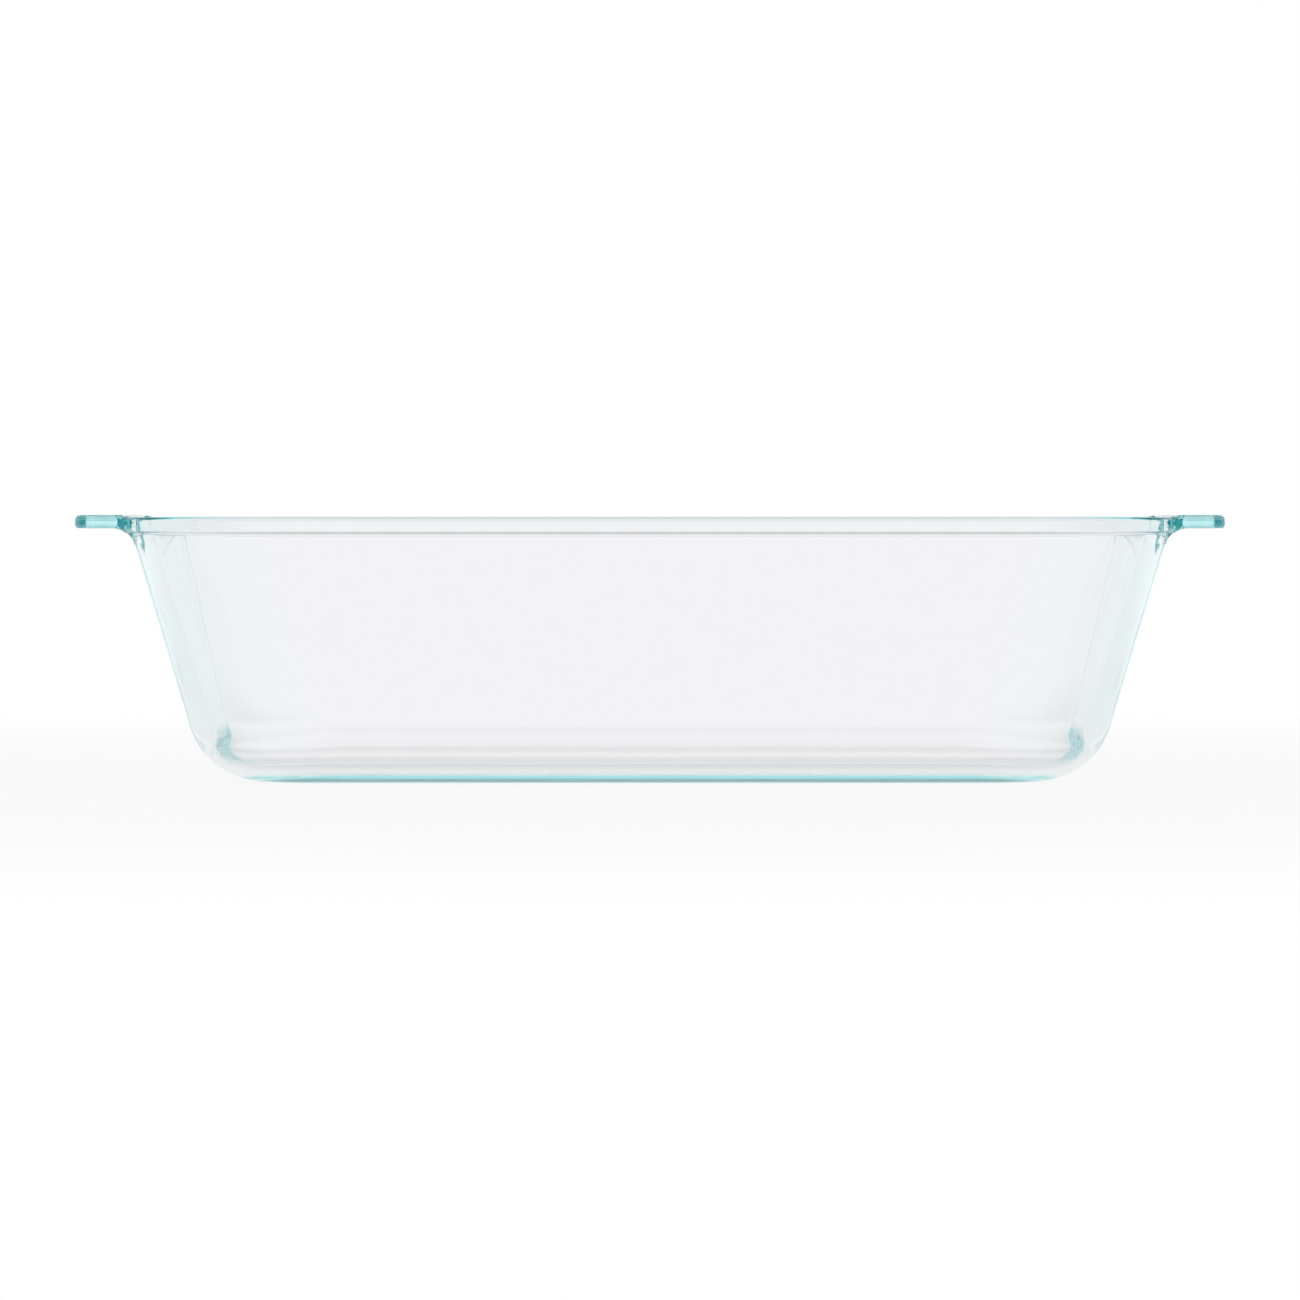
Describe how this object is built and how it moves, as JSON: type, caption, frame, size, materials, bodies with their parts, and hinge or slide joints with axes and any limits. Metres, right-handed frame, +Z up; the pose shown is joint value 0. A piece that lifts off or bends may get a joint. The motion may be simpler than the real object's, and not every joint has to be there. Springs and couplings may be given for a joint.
{
  "type": "loaf pan",
  "caption": "Clear pressed-glass loaf pan with leaning walls, rounded corners, a thickened rim and a flat tab handle at each end.",
  "frame": {"origin": "middle of the underside, on the plane that the pan stands on", "axes": "+X along the pan from handle to handle, +Y across it, +Z up out of its mouth"},
  "size_m": [0.299, 0.131, 0.0696],
  "materials": {
    "glass": "gloss"
  },
  "bodies": {
    "root": {"glass_dish": "glass"}
  },
  "joints": []
}
